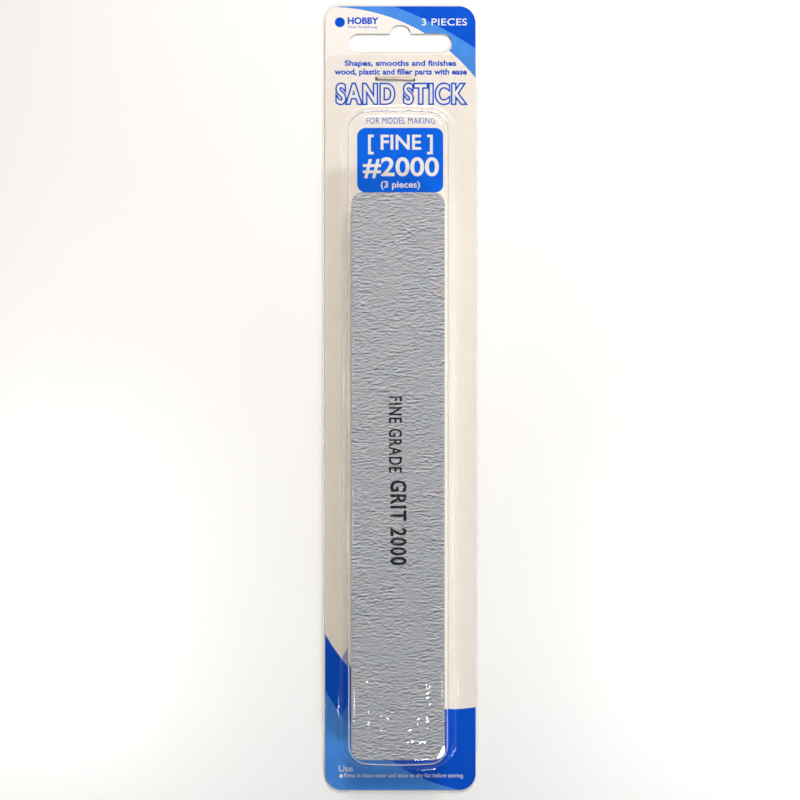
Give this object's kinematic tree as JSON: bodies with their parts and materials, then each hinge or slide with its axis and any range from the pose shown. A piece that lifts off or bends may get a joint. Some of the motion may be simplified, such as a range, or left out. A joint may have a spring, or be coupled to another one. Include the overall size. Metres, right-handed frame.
{
  "type": "sanding stick pack",
  "caption": "Clear slide-blister pack on a printed hanging card, holding a stack of flat double-sided foam sanding sticks that slide in the pocket.",
  "frame": {"origin": "middle of the pack's box, on the plane that its back rests on", "axes": "+X right seen from the front, +Y towards the hang slot, +Z out of the front of the pocket"},
  "size_m": [0.0496, 0.2508, 0.0142],
  "materials": {
    "clear_plastic": "gloss",
    "printed_card": "satin",
    "staple_wire": "satin",
    "abrasive_paper": "matte",
    "adhesive_film": "satin",
    "foam_pad": "matte",
    "core_board": "satin"
  },
  "bodies": {
    "blister": {"blister_shell": "clear_plastic"},
    "card": {"card_board": "printed_card"},
    "staple": {"staple": "staple_wire"},
    "front_stick": {"front_stick_back_abrasive": "abrasive_paper", "front_stick_back_adhesive_outer": "adhesive_film", "front_stick_back_foam": "foam_pad", "front_stick_back_adhesive_inner": "adhesive_film", "front_stick_core": "core_board", "front_stick_front_adhesive_inner": "adhesive_film", "front_stick_front_foam": "foam_pad", "front_stick_front_adhesive_outer": "adhesive_film", "front_stick_front_abrasive": "abrasive_paper"},
    "middle_stick": {"middle_stick_back_abrasive": "abrasive_paper", "middle_stick_back_adhesive_outer": "adhesive_film", "middle_stick_back_foam": "foam_pad", "middle_stick_back_adhesive_inner": "adhesive_film", "middle_stick_core": "core_board", "middle_stick_front_adhesive_inner": "adhesive_film", "middle_stick_front_foam": "foam_pad", "middle_stick_front_adhesive_outer": "adhesive_film", "middle_stick_front_abrasive": "abrasive_paper"},
    "back_stick": {"back_stick_back_abrasive": "abrasive_paper", "back_stick_back_adhesive_outer": "adhesive_film", "back_stick_back_foam": "foam_pad", "back_stick_back_adhesive_inner": "adhesive_film", "back_stick_core": "core_board", "back_stick_front_adhesive_inner": "adhesive_film", "back_stick_front_foam": "foam_pad", "back_stick_front_adhesive_outer": "adhesive_film", "back_stick_front_abrasive": "abrasive_paper"}
  },
  "joints": [
    {"name": "card_slide", "type": "slide", "parent": "blister", "child": "card", "axis": [0, 1, 0], "range_m": [0, 0.225]},
    {"name": "staple_pull", "type": "slide", "parent": "blister", "child": "staple", "axis": [0, 0, 1], "range_m": [0, 0.045], "deforming": ["staple"]},
    {"name": "front_stick_slide", "type": "slide", "parent": "blister", "child": "front_stick", "axis": [0, 1, 0], "range_m": [0, 0.0234]},
    {"name": "middle_stick_slide", "type": "slide", "parent": "blister", "child": "middle_stick", "axis": [0, 1, 0], "range_m": [0, 0.0234]},
    {"name": "back_stick_slide", "type": "slide", "parent": "blister", "child": "back_stick", "axis": [0, 1, 0], "range_m": [0, 0.0234]}
  ],
  "couplings": [
    {"joint": "staple_pull", "follows": "card_slide", "ratio": 0.2}
  ]
}
